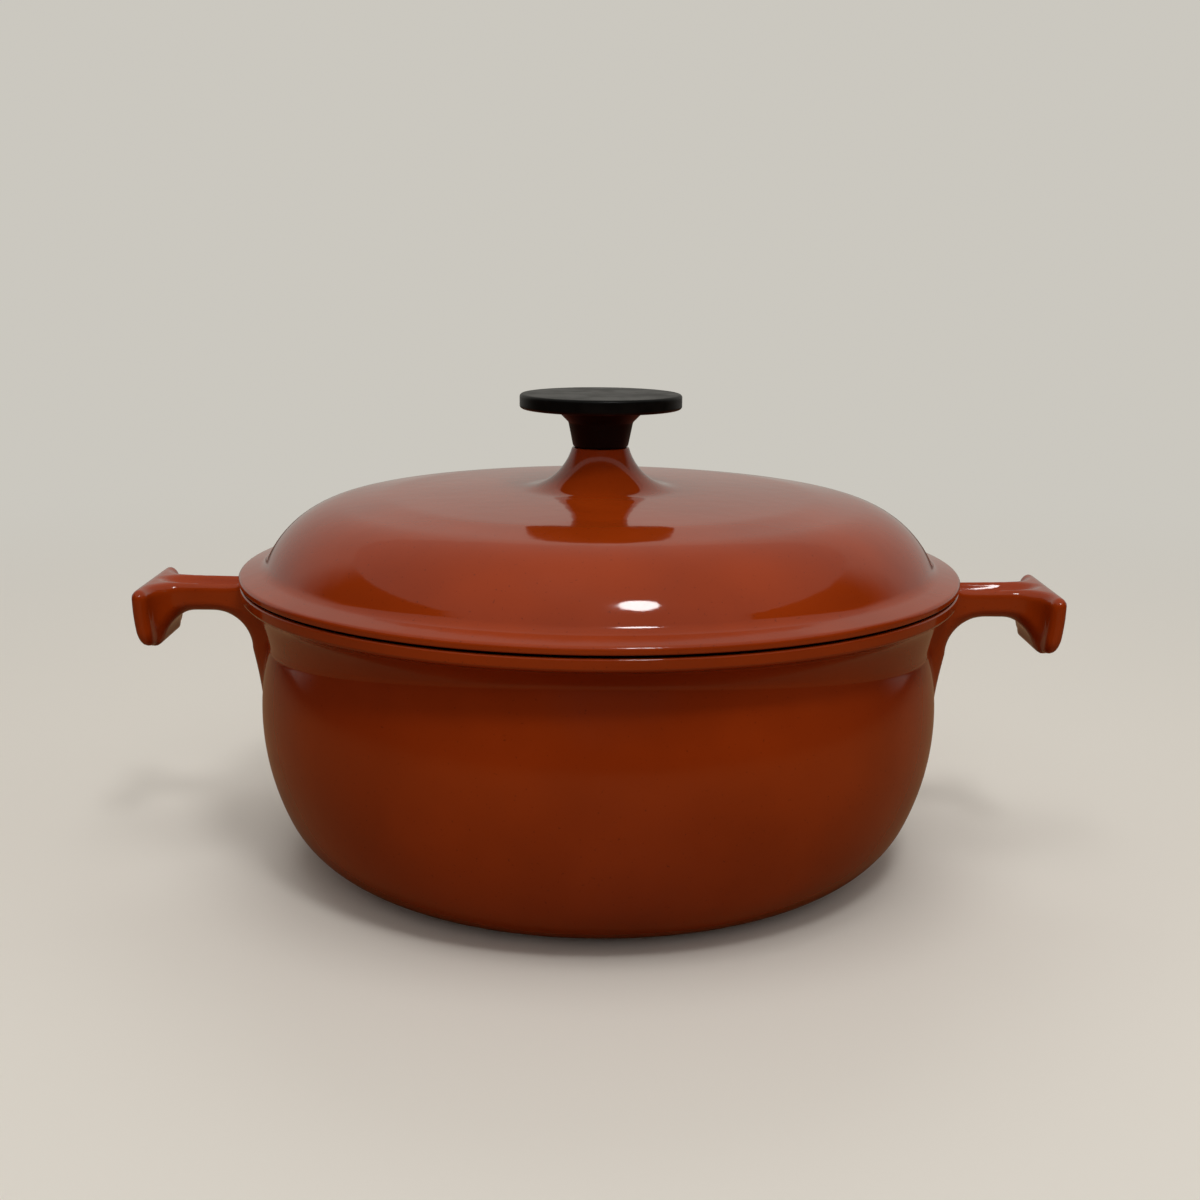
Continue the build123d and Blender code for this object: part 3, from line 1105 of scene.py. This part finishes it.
@dataclass
class LidCasting:
    """The iron lid, turned about Z: locating ring, brim, dome and the knob's stem, with its lining."""

    radius: float = 127.5
    seat_height: float = 102.3
    edge_height: float = 103.3
    edge_depth: float = 2.5
    edge_round: float = 1.4
    edge_low_round: float = 0.6
    brim_slope: float = 15.0
    brim_fillet: float = 5.0
    crown_height: float = 136.8
    crown_arc: float = 589.0
    crown_tilt: float = 7.7
    crown_edge: float = 69.0
    plateau_tilt: float = 3.2
    shoulder_arc: float = 35.6
    shoulder_tilt: float = 8.9
    wall: float = 4.4
    enamel: float = 0.4
    seat_radius: float = 121.0
    locator_radius: float = 113.8
    locator_bottom: float = 97.2
    locator_taper: float = 1.6
    locator_wall: float = 4.6
    locator_edge: float = 1.2
    hollow_fillet: float = 6.0
    stem_top: float = 148.3
    stem_radius: float = 10.1
    stem_tilt: float = 75.0
    stem_edge: float = 0.6
    bore: float = 3.3
    pad_radius: float = 13.0
    pad_height: float = 131.0
    bare_over: float = 0.2

    def __post_init__(self) -> None:
        """Works out the centres of the arcs from the sizes."""
        drop = self.crown_arc - self.shoulder_arc
        tilt = radians(self.shoulder_tilt)
        self.crown_centre = (0.0, self.crown_height - self.crown_arc)
        self.shoulder_centre = (drop * sin(tilt), self.crown_centre[1] + drop * cos(tilt))
        self.ring_inside = self.locator_radius - self.locator_taper - self.locator_wall

    def outside(self) -> Points:
        """Outer half section from the locating ring's foot round the brim, over the dome and up the stem.

        Returns:
            The points, from the ring's inner face to the bore.
        """
        ring_foot = (self.ring_inside, self.locator_bottom)
        ring_edge = (self.locator_radius - self.locator_taper, self.locator_bottom)
        ring_head = (self.locator_radius, self.seat_height)
        seat_edge = (self.seat_radius, self.seat_height)
        under = (self.seat_radius + self.edge_height - self.seat_height, self.edge_height)
        edge_low = (self.radius, self.edge_height)
        edge_high = (self.radius, self.edge_height + self.edge_depth)
        fall = tan(radians(self.brim_slope))
        brim_foot = line_meets_arc(edge_high, (-1, fall), self.shoulder_centre, self.shoulder_arc)
        spring, crest = angle_on(self.shoulder_centre, brim_foot), 90 - self.shoulder_tilt
        dome = join(
            arc(self.shoulder_centre, self.shoulder_arc, spring, crest),
            arc(self.crown_centre, self.crown_arc, crest, 90 - self.crown_tilt),
            self.plateau(),
        )
        return chain(
            run((self.ring_inside, self.locator_bottom + 2 * self.locator_edge), ring_foot),
            (self.locator_edge, run(ring_foot, ring_edge)),
            (self.locator_edge, run(ring_edge, ring_head)),
            (0, run(ring_head, seat_edge, under, edge_low)),
            (self.edge_low_round, run(edge_low, edge_high)),
            (self.edge_round, run(edge_high, brim_foot)),
            (self.brim_fillet, dome),
            (self.stem_edge, run((self.stem_radius, self.stem_top), (self.bore, self.stem_top))),
        )

    def plateau(self) -> Points:
        """Half section of the dome's flatter middle, from the crown's ring in to the top of the stem.

        A tight arc takes the tilt from the crown's to the plateau's. The plateau is an arc about the axis.
        The stem's fillet, of radius s, touches it and ends at the stem's edge e with a tilt t: its centre is
        e + s (sin t, cos t), as far from the plateau's centre as both radii together.

        Returns:
            The points, from the crown inwards.
        """
        crown, flat, steep = (radians(t) for t in (self.crown_tilt, self.plateau_tilt, self.stem_tilt))
        inward = self.crown_arc - self.crown_edge
        edge_centre = (inward * sin(crown), self.crown_centre[1] + inward * cos(crown))
        rim = np.add(edge_centre, (self.crown_edge * sin(flat), self.crown_edge * cos(flat)))
        flat_arc = rim[0] / sin(flat)
        flat_centre = (0.0, rim[1] - flat_arc * cos(flat))
        rise = self.stem_top - flat_centre[1]
        slack = flat_arc - self.stem_radius * sin(steep) - rise * cos(steep)
        fillet = (self.stem_radius**2 + rise**2 - flat_arc**2) / (2 * slack)
        stem_centre = (self.stem_radius + fillet * sin(steep), self.stem_top + fillet * cos(steep))
        touch = angle_on(flat_centre, stem_centre)
        return join(
            arc(edge_centre, self.crown_edge, 90 - self.crown_tilt, 90 - self.plateau_tilt),
            arc(flat_centre, flat_arc, 90 - self.plateau_tilt, touch),
            arc(stem_centre, fillet, 180 + touch, 270 - self.stem_tilt),
        )

    def hollow(self, depth: float) -> Points:
        """Inner half section from the bore over the screw's pad and under the dome to the locating ring.

        Args:
            depth: distance above the enamel's face.

        Returns:
            The points, from the bore outwards.
        """
        inner = self.ring_inside + depth
        shoulder = self.shoulder_arc - self.wall + depth
        crown = self.crown_arc - self.wall + depth
        pad = self.pad_radius - depth
        crest = 90 - self.shoulder_tilt
        spring = line_meets_arc((inner, self.crown_height), (0, -1), self.shoulder_centre, shoulder)
        pad_edge = line_meets_arc((pad, self.crown_height), (0, -1), self.crown_centre, crown)
        ceiling = join(
            run((self.bore, self.pad_height + depth), (pad, self.pad_height + depth), pad_edge),
            arc(self.crown_centre, crown, angle_on(self.crown_centre, pad_edge), crest),
            arc(self.shoulder_centre, shoulder, crest, angle_on(self.shoulder_centre, spring)),
        )
        skirt = run(spring, (inner, self.locator_bottom + self.locator_edge))
        return rounded(ceiling, skirt, self.hollow_fillet + depth)

    def skin(self) -> Skin:
        """Skin of the turned casting, with seat and locating ring marked bare.

        Returns:
            The closed skin.
        """
        outside = self.outside()
        behind = thinned(self.hollow(self.enamel))
        profile = join(outside, behind, outside[:1])
        low = profile[:, 1] < self.edge_height + self.bare_over
        under = low & (profile[:, 0] < self.radius - self.edge_low_round)
        return lathe(profile, {"bare": under.astype(float)})

    def lining_skin(self) -> Skin:
        """Skin of the lining: out along the enamel's face, round its foot and back along the iron.

        Returns:
            The closed skin.
        """
        face, iron = self.hollow(0), thinned(self.hollow(self.enamel))
        profile = join(face, iron[::-1], face[:1])
        return lathe(profile, {"bare": np.zeros(len(profile))})

    def build(self, finish: Material, lining: Material) -> None:
        """Makes the lid and its lining.

        Args:
            finish: enamel of the outside.
            lining: enamel of the inside.
        """
        dress(self.skin().piece("lid_casting"), finish, Body.LID, Slot.ORANGE_ENAMEL, "lid")
        coat = self.lining_skin().piece("lid_enamel_lining")
        dress(coat, lining, Body.LID, Slot.CREAM_ENAMEL, "lid_lining")


@dataclass
class DiscKnob:
    """The moulded knob, turned about Z: a tapered neck that flares into a flat disc, round a brass insert."""

    top: float = 167.2
    radius: float = 28.76
    disc: float = 5.2
    edge: float = 1.1
    foot: float = 148.3
    foot_radius: float = 9.7
    foot_round: float = 1.3
    neck_radius: float = 11.5
    neck_top: float = 157.2
    neck_round: float = 1.5
    flare: float = 4.4
    throat: float = 3.6
    pocket_radius: float = 4.5
    pocket_foot: float = 149.0
    pocket_top: float = 160.0

    def skin(self) -> Skin:
        """Skin of the knob, with the pocket that the insert fills.

        Returns:
            The closed skin.
        """
        under = self.top - self.disc
        foot = (self.foot_radius, self.foot)
        neck = (self.neck_radius, self.neck_top)
        flare = (self.neck_radius + self.flare, self.neck_top + self.flare)
        step = (flare[0], under)
        rim_low, rim_high = (self.radius, under), (self.radius, self.top)
        profile = chain(
            run(
                (0, self.pocket_top),
                (self.pocket_radius, self.pocket_top),
                (self.pocket_radius, self.pocket_foot),
                (self.throat, self.pocket_foot),
                (self.throat, self.foot),
                foot,
            ),
            (self.foot_round, run(foot, neck)),
            (self.neck_round, run(neck, flare, step, rim_low)),
            (self.edge, run(rim_low, rim_high)),
            (self.edge, run(rim_high, (0, self.top))),
        )
        return lathe(profile)

    def build(self, finish: Material) -> None:
        """Makes the knob in its finish."""
        dress(self.skin().piece("disc_knob"), finish, Body.LID, Slot.BLACK_PHENOLIC, "knob")


@dataclass
class KnobFixings:
    """Insert, screw and washer, kept as the model has them, with metal finishes."""

    finishes: dict[str, TurnedMetal] = field(
        default_factory=lambda: {
            "knob_insert": INSERT_BRASS,
            "knob_screw": SCREW_STEEL,
            "screw_washer": SCREW_STEEL,
        }
    )

    def build(self) -> None:
        """Puts the metal finishes into the nodes' material slots."""
        made = {finish: finish.material() for finish in dict.fromkeys(self.finishes.values())}
        for node, finish in self.finishes.items():
            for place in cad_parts[node].material_slots:
                place.material = made[finish]
            LOG.info("%s: %s", node, finish.name)


@dataclass(frozen=True)
class Lamp:
    """A round area lamp turned towards the pot, by default a wide soft one that the pot doesn't mirror.

    Its power is in watts, its distance, diameter and the height that it is turned to in millimetres.
    """

    name: str
    azimuth: float
    elevation: float
    power: float
    distance: float = 2200.0
    diameter: float = 1500.0
    mirrored: bool = False
    target: float = 90.0

    def build(self) -> None:
        """Makes the lamp, hidden from reflections unless it is mirrored."""
        azimuth, elevation = radians(self.azimuth), radians(self.elevation)
        away = Vector((sin(azimuth) * cos(elevation), -cos(azimuth) * cos(elevation), sin(elevation)))
        lamp = bpy.data.lights.new(self.name, "AREA")
        lamp.shape = "DISK"
        lamp.size = self.diameter * MM
        lamp.energy = self.power
        holder = bpy.data.objects.new(self.name, lamp)
        holder.location = Vector((0, 0, self.target * MM)) + away * self.distance * MM
        holder.rotation_euler = away.to_track_quat("Z", "Y").to_euler()
        holder.visible_glossy = self.mirrored
        bpy.context.scene.collection.objects.link(holder)


@dataclass
class Studio:
    """Pale round backdrop, a lamp among wide soft fills, the even light of a room, and the camera."""

    floor_colour: str = "#f2ede3"
    bounce_colour: str = "#86603a"
    floor_roughness: float = 0.6
    floor_radius: float = 2400.0
    floor_sink: float = 0.1
    cove_radius: float = 900.0
    cove_step: int = 20
    wall_height: float = 2600.0
    wall_colour: str = "#f4f0e6"
    wall_glow: float = 0.66
    mirrored_glow: float = 0.48
    room_glow: float = 0.02
    glow_reach: Range = (700.0, 2000.0)
    seen_reach: Range = (120.0, 1000.0)
    mirrored_reach: Range = (300.0, 1300.0)
    lamps: tuple[Lamp, ...] = (
        Lamp("key_lamp", 17.0, 55.0, 3.6, distance=1500.0, diameter=265.0, mirrored=True),
        Lamp("top_lamp", 0.0, 78.0, 12.5),
        Lamp("front_fill", 3.0, 24.0, 8.2),
        Lamp("left_fill", -80.0, 25.0, 2.4),
        Lamp("right_fill", 80.0, 25.0, 3.8),
        Lamp("back_fill", 180.0, 38.0, 8.0),
    )
    room_colour: str = "#f6f3ec"
    room_strength: float = 0.38
    camera_distance: float = 579.7
    camera_height: float = 215.9
    camera_pitch: float = 12.01
    camera_roll: float = 0.5
    camera_shift: float = 0.8
    camera_clip: float = 10.0
    focal_pixels: float = 1632.8
    picture_pixels: float = 1200.0
    sensor_width: float = 36.0

    def backdrop_paint(self) -> Material:
        """Paint of the backdrop, which glows by soft steps of length.

        The camera sees it pale, and glowing evenly far off. The light that it sends back to the pot is brown.
        The pot mirrors it bright behind, and dim at its sides and in front.

        Returns:
            The material.
        """
        rows: Rows = {
            "path": ("LightPath", {}, {}),
            "axes": ("SeparateXYZ", {}, WHERE),
            "away": ("VectorMath", {"operation": "LENGTH"}, {0: "where.Object"}),
        }
        steps = {
            "behind": ("axes.Y", self.glow_reach, (self.room_glow, self.mirrored_glow)),
            "mirrored_far": ("away.Value", self.mirrored_reach, (0, 1)),
            "seen_far": ("away.Value", self.seen_reach, (0, 1)),
        }
        for name, (length, (near, far), (low, high)) in steps.items():
            span = {"From Min": near * MM, "From Max": far * MM, "To Min": low, "To Max": high}
            rows[name] = ("MapRange", {"interpolation_type": "SMOOTHSTEP", **span}, {"Value": length})
        colours = {"data_type": "RGBA", 6: linear(self.bounce_colour), 7: linear(self.floor_colour)}
        seen = "path.Is Camera Ray"
        rows |= {
            "colour": ("Mix", colours, {0: seen}),
            "paint": ("BsdfPrincipled", {"Roughness": self.floor_roughness}, {"Base Color": "colour.2"}),
            "glow": ("Mix", {"data_type": "FLOAT", 3: self.wall_glow}, {0: seen, 2: "behind.Result"}),
            "wall": ("Emission", {"Color": linear(self.wall_colour)}, {"Strength": "glow.0"}),
            "mirrored": (
                "Math",
                {"operation": "MAXIMUM"},
                {0: "path.Is Glossy Ray", 1: "path.Is Transmission Ray"},
            ),
            "shown": ("Math", {"operation": "MULTIPLY"}, {0: "mirrored.Value", 1: "mirrored_far.Result"}),
            "share": ("Mix", {"data_type": "FLOAT"}, {0: seen, 2: "shown.Value", 3: "seen_far.Result"}),
            "shader": ("MixShader", {}, {0: "share.0", 1: "paint.BSDF", 2: "wall.Emission"}),
        }
        return new_material("pale_painted_backdrop", rows)

    def build_floor(self) -> None:
        """Makes the backdrop: a flat floor that curves up into a round wall."""
        cove = (self.floor_radius, self.cove_radius - self.floor_sink)
        profile = join(
            np.array([(self.floor_radius + self.cove_radius, self.wall_height)]),
            arc(cove, self.cove_radius, 0, -90)[:: self.cove_step],
            np.array([(self.floor_radius, -self.floor_sink), (0, -self.floor_sink)]),
        )
        backdrop = lathe(profile).piece("pale_backdrop")
        backdrop.data.materials.append(self.backdrop_paint())

    def build_room(self) -> None:
        """Sets the even light of the room."""
        world = bpy.data.worlds.new("pale_room")
        world.use_nodes = True
        light = {"Color": linear(self.room_colour), "Strength": self.room_strength}
        rows: Rows = {
            "sky": ("Background", light, {}),
            "output": ("OutputWorld", {}, {"Surface": "sky.0"}),
        }
        fill_tree(world.node_tree, rows)
        bpy.context.scene.world = world

    def build_camera(self) -> None:
        """Sets the camera where the photograph was taken from, with the photograph's field of view."""
        pitch, roll = radians(self.camera_pitch), radians(self.camera_roll)
        ahead = Vector((0, cos(pitch), -sin(pitch)))
        level = Vector((1, 0, 0))
        upright = level.cross(ahead)
        right = cos(roll) * level + sin(roll) * upright
        up = cos(roll) * upright - sin(roll) * level
        lens = bpy.data.cameras.new("camera")
        lens.sensor_width = self.sensor_width
        lens.lens = self.focal_pixels / self.picture_pixels * self.sensor_width
        lens.shift_x = self.camera_shift / self.picture_pixels
        lens.clip_start = self.camera_clip * MM
        camera = bpy.data.objects.new("camera", lens)
        turn = Matrix((right, up, -ahead)).transposed().to_4x4()
        place = Vector((0, -self.camera_distance, self.camera_height)) * MM
        camera.matrix_world = Matrix.Translation(place) @ turn
        bpy.context.scene.collection.objects.link(camera)
        bpy.context.scene.camera = camera

    def build(self) -> None:
        """Makes floor, lamps, room and camera."""
        self.build_floor()
        for lamp in self.lamps:
            lamp.build()
        self.build_room()
        self.build_camera()
        bpy.context.scene.view_settings.view_transform = "Standard"


def main() -> None:
    """Builds the studio and every piece of the pot."""
    logging.basicConfig(level=logging.INFO, format="%(name)s %(message)s")
    Studio().build()
    orange, cream = ORANGE_ENAMEL.material(), CREAM_ENAMEL.material()
    PotCasting().build(orange, cream)
    LidCasting().build(orange, cream)
    DiscKnob().build(BLACK_PHENOLIC.material())
    KnobFixings().build()


if __name__ == "__main__":
    main()
